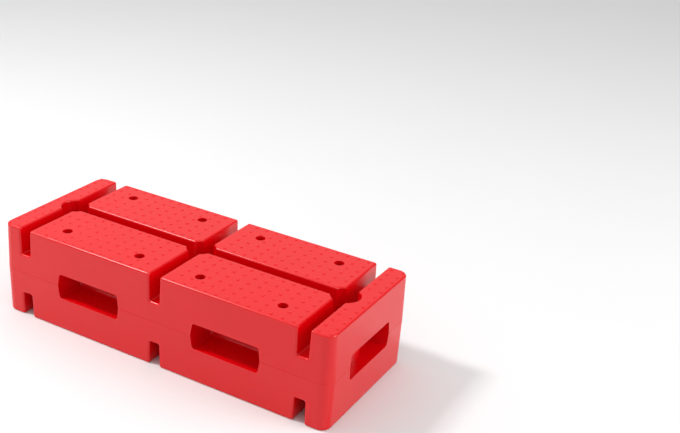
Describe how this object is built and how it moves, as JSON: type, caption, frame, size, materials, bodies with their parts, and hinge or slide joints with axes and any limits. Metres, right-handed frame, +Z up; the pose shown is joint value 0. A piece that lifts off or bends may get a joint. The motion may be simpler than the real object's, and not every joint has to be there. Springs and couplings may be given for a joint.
{
  "type": "water filled barrier",
  "caption": "Low red water-filled barrier block with deck and foot slots, round post sockets, hand grips, a clamped seam and screw-in filler and drain plugs.",
  "frame": {"origin": "middle of the footprint, on the ground", "axes": "+X along the length, +Z up, the rear face with the two plugs towards +Y"},
  "size_m": [0.6, 0.24, 0.153],
  "materials": {
    "red_shell": "satin moulded polyethylene",
    "seal_rubber": "matt",
    "bolt_steel": "zinc plated",
    "fitting_plastic": "moulded",
    "plug_plastic": "moulded"
  },
  "bodies": {
    "block": {"upper_shell": "red_shell", "lower_shell": "red_shell", "seam_gasket": "seal_rubber", "middle_socket_seal": "seal_rubber", "clamp_bolts": "bolt_steel", "clamp_washers": "bolt_steel", "clamp_nuts": "bolt_steel", "filler_neck": "fitting_plastic", "filler_neck_seal": "seal_rubber", "filler_neck_nut": "fitting_plastic", "drain_neck": "fitting_plastic", "drain_neck_seal": "seal_rubber", "drain_neck_nut": "fitting_plastic"},
    "filler_seal_ring": {"filler_plug_seal": "seal_rubber"},
    "filler_screw_plug": {"filler_plug": "plug_plastic"},
    "drain_seal_ring": {"drain_plug_seal": "seal_rubber"},
    "drain_screw_plug": {"drain_plug": "plug_plastic"}
  },
  "joints": [
    {"name": "filler_plug_lift", "type": "slide", "parent": "block", "child": "filler_seal_ring", "axis": [0, 1, 0], "range_m": [0, 0.0121]},
    {"name": "filler_plug_turn", "type": "hinge", "parent": "filler_seal_ring", "child": "filler_screw_plug", "pos_m": [-0.214, 0.106, 0.125], "axis": [0, 1, 0], "range_deg": [0, 1080]},
    {"name": "drain_plug_lift", "type": "slide", "parent": "block", "child": "drain_seal_ring", "axis": [0, 1, 0], "range_m": [0, 0.0121]},
    {"name": "drain_plug_turn", "type": "hinge", "parent": "drain_seal_ring", "child": "drain_screw_plug", "pos_m": [-0.214, 0.106, 0.03], "axis": [0, 1, 0], "range_deg": [0, 1440]}
  ],
  "couplings": [
    {"joint": "filler_plug_lift", "follows": "filler_plug_turn", "m_per_rad": 0.00063662},
    {"joint": "drain_plug_lift", "follows": "drain_plug_turn", "m_per_rad": 0.00047746}
  ]
}
